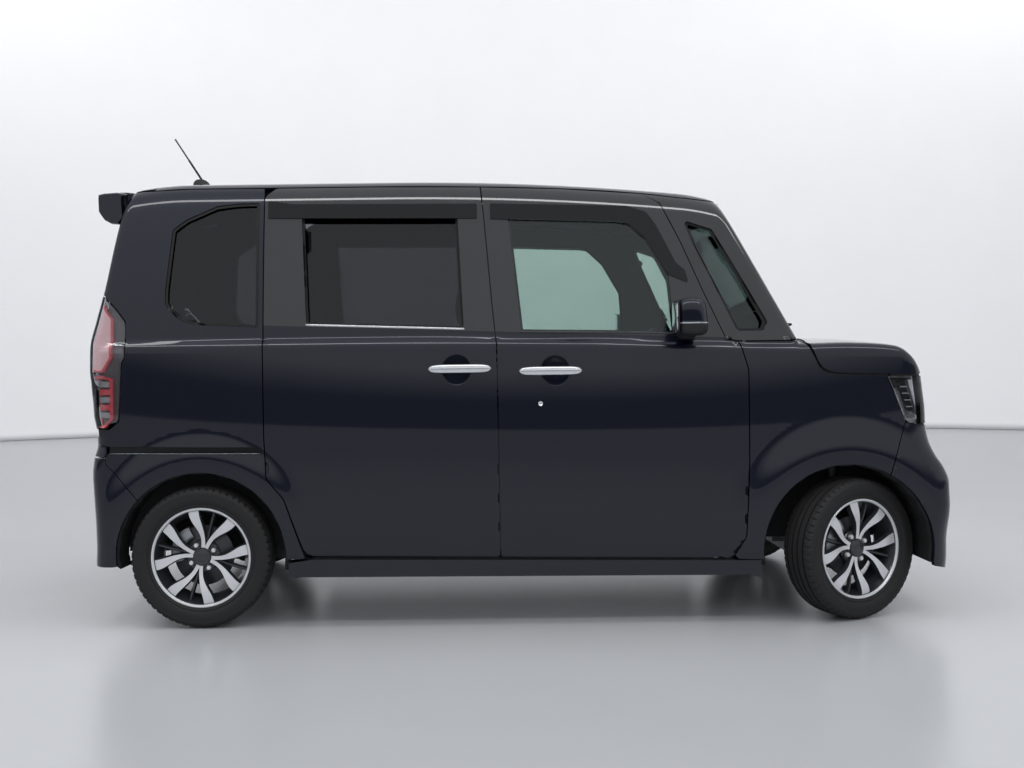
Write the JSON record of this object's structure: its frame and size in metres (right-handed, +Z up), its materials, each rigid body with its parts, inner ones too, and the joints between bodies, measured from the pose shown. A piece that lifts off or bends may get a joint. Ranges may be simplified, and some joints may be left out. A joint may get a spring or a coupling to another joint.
{
  "type": "tall-wagon kei car",
  "caption": "Small tall-wagon car with flat sides, sliding rear doors, tailgate, roof spoiler and alloy wheels, its front wheels steered to one side.",
  "frame": {"origin": "on the ground under the middle of the car's bounding box", "axes": "+X forward, +Y to the left, +Z up"},
  "size_m": [3.3935, 1.756, 1.9799],
  "materials": {
    "body_paint": "glossy metallic",
    "clear_glass": "polished",
    "privacy_glass": "polished",
    "lamp_lens": "polished",
    "red_lens": "polished",
    "alloy": "machined",
    "tyre_rubber": "matt",
    "black_plastic": "grained",
    "smoked_plastic": "polished",
    "dark_steel": "satin",
    "floor_steel": "satin",
    "seat_cloth": "woven",
    "bright_trim": "polished"
  },
  "bodies": {
    "shell": {"roof_panel": "body_paint", "side_panel_right": "body_paint", "side_panel_left": "body_paint", "front_fenders": "body_paint", "front_bumper": "body_paint", "rear_bumper": "body_paint", "slide_door_right": "body_paint", "slide_door_left": "body_paint", "sill_garnish": "body_paint", "headlamps": "lamp_lens", "front_grille": "bright_trim", "cowl": "black_plastic", "tail_lamps": "red_lens", "side_glass": "privacy_glass", "windscreen": "clear_glass", "slide_door_visors": "smoked_plastic", "floor_pan": "floor_steel", "front_subframe": "dark_steel", "rear_axle": "dark_steel", "engine_block": "dark_steel", "fuel_tank": "black_plastic", "exhaust": "dark_steel", "front_seats": "seat_cloth", "rear_seat": "seat_cloth", "dashboard": "black_plastic", "roof_antenna": "black_plastic"},
    "front_door_r": {"front_door_right": "body_paint", "front_door_glass_right": "clear_glass", "door_mirror_right": "body_paint", "door_visor_right": "smoked_plastic"},
    "front_door_l": {"front_door_left": "body_paint", "front_door_glass_left": "clear_glass", "door_mirror_left": "body_paint", "door_visor_left": "smoked_plastic"},
    "bonnet_body": {"bonnet": "body_paint"},
    "tailgate_body": {"tailgate": "body_paint", "tailgate_glass": "privacy_glass", "roof_spoiler": "body_paint"},
    "knuckle_r": {"knuckle_right": "dark_steel"},
    "knuckle_l": {"knuckle_left": "dark_steel"},
    "wheel_fr": {"wheel_front_right": "alloy", "tyre_front_right": "tyre_rubber"},
    "wheel_fl": {"wheel_front_left": "alloy", "tyre_front_left": "tyre_rubber"},
    "wheel_rr": {"wheel_rear_right": "alloy", "tyre_rear_right": "tyre_rubber"},
    "wheel_rl": {"wheel_rear_left": "alloy", "tyre_rear_left": "tyre_rubber"},
    "steering": {"steering_wheel": "black_plastic"}
  },
  "joints": [
    {"name": "front_door_right_hinge", "type": "hinge", "parent": "shell", "child": "front_door_r", "pos_m": [0.885, -0.7375, 0.65], "axis": [0, 0, 1], "range_deg": [0, 70]},
    {"name": "front_door_left_hinge", "type": "hinge", "parent": "shell", "child": "front_door_l", "pos_m": [0.885, 0.7375, 0.65], "axis": [0, 0, -1], "range_deg": [0, 70]},
    {"name": "bonnet_hinge", "type": "hinge", "parent": "shell", "child": "bonnet_body", "pos_m": [1.1185, 0, 1.107], "axis": [0, -1, 0], "range_deg": [0, 60]},
    {"name": "tailgate_hinge", "type": "hinge", "parent": "shell", "child": "tailgate_body", "pos_m": [-1.446, 0, 1.783], "axis": [0, 1, 0], "range_deg": [0, 80]},
    {"name": "steer_right", "type": "hinge", "parent": "shell", "child": "knuckle_r", "pos_m": [1.2675, -0.59, 0.275], "axis": [0, 0, 1], "range_deg": [-59.5, 10.5]},
    {"name": "steer_left", "type": "hinge", "parent": "shell", "child": "knuckle_l", "pos_m": [1.2675, 0.59, 0.275], "axis": [0, 0, 1], "range_deg": [-59.5, 10.5]},
    {"name": "steering_wheel_turn", "type": "hinge", "parent": "shell", "child": "steering", "pos_m": [0.505, -0.33, 0.985], "axis": [-0.891, 0, 0.454], "range_deg": [-875.15, 154.85]},
    {"name": "spin_front_right", "type": "hinge", "parent": "knuckle_r", "child": "wheel_fr", "pos_m": [1.29342, -0.64687, 0.275], "axis": [-0.4147, 0.91, 0], "continuous": true},
    {"name": "spin_front_left", "type": "hinge", "parent": "knuckle_l", "child": "wheel_fl", "pos_m": [1.24158, 0.64687, 0.275], "axis": [-0.4147, 0.91, 0], "continuous": true},
    {"name": "spin_rear_right", "type": "hinge", "parent": "shell", "child": "wheel_rr", "pos_m": [-1.2525, -0.6525, 0.275], "axis": [0, 1, 0], "continuous": true},
    {"name": "spin_rear_left", "type": "hinge", "parent": "shell", "child": "wheel_rl", "pos_m": [-1.2525, 0.6525, 0.275], "axis": [0, 1, 0], "continuous": true}
  ],
  "couplings": [
    {"joint": "steer_left", "follows": "steer_right", "ratio": 1},
    {"joint": "steering_wheel_turn", "follows": "steer_right", "ratio": 14.7}
  ]
}
